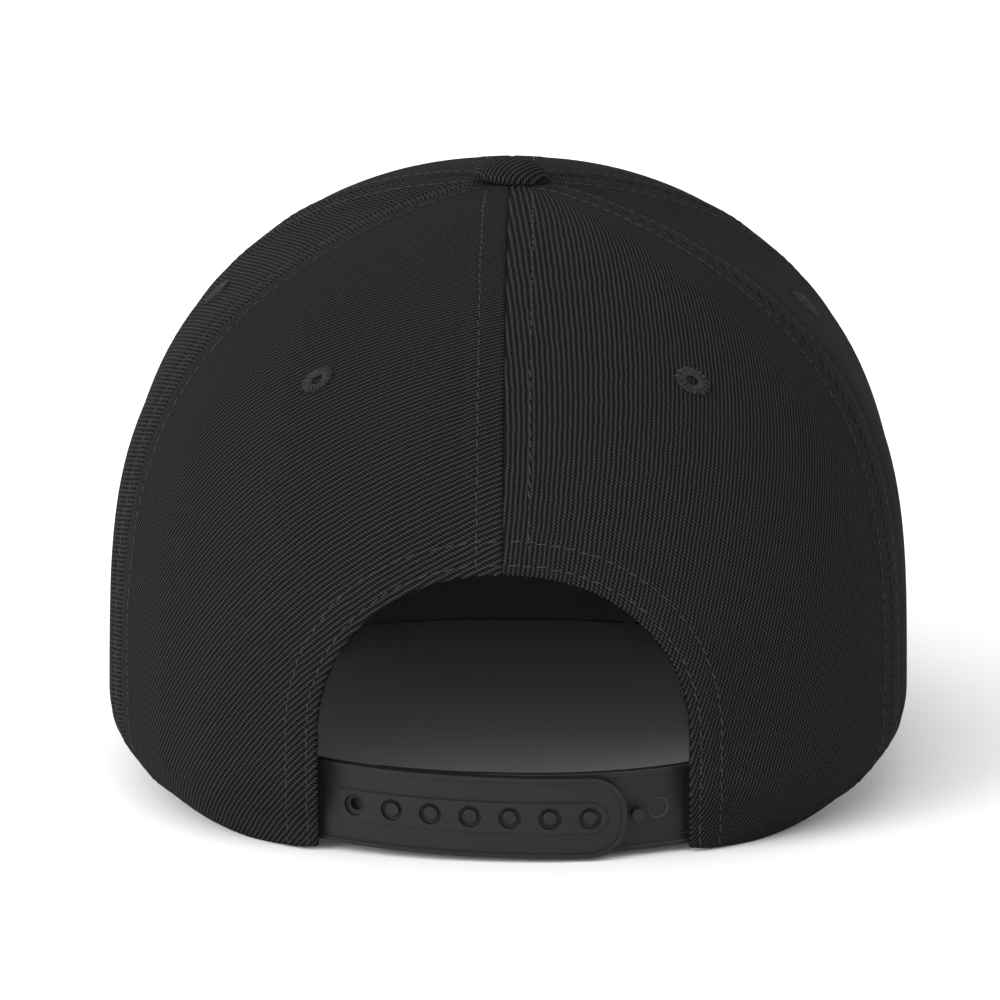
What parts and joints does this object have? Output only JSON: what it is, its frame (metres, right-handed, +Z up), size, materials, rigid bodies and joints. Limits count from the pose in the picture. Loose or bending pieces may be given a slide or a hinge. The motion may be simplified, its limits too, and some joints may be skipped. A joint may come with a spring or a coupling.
{
  "type": "snapback cap",
  "caption": "Structured six-panel cap with a covered button, sewn eyelets, an arched back opening, a plastic snap closure, a sweatband and a gently curved peak.",
  "frame": {"origin": "on the surface that the cap stands on, under the middle of its outline", "axes": "+Z up, the peak towards -Y and the back opening towards +Y, the wearer's left side towards +X"},
  "size_m": [0.1884, 0.2776, 0.1418],
  "materials": {
    "wool_twill": "matt woven twill, near black",
    "sewing_thread": "slightly glossy sewing thread, near black",
    "band_cotton": "matt plain-woven cotton, black",
    "moulded_plastic": "satin moulded plastic, near black"
  },
  "bodies": {
    "root": {"panel_back_left": "wool_twill", "panel_back_right": "wool_twill", "panel_side_left": "wool_twill", "panel_side_right": "wool_twill", "panel_front_left": "wool_twill", "panel_front_right": "wool_twill", "button": "wool_twill", "peak_top": "wool_twill", "peak_under": "wool_twill", "eyelet_back_left": "sewing_thread", "eyelet_back_right": "sewing_thread", "eyelet_side_left": "sewing_thread", "eyelet_side_right": "sewing_thread", "eyelet_front_left": "sewing_thread", "eyelet_front_right": "sewing_thread", "sweatband": "band_cotton", "strap_outer": "moulded_plastic", "strap_inner": "moulded_plastic"}
  },
  "joints": []
}
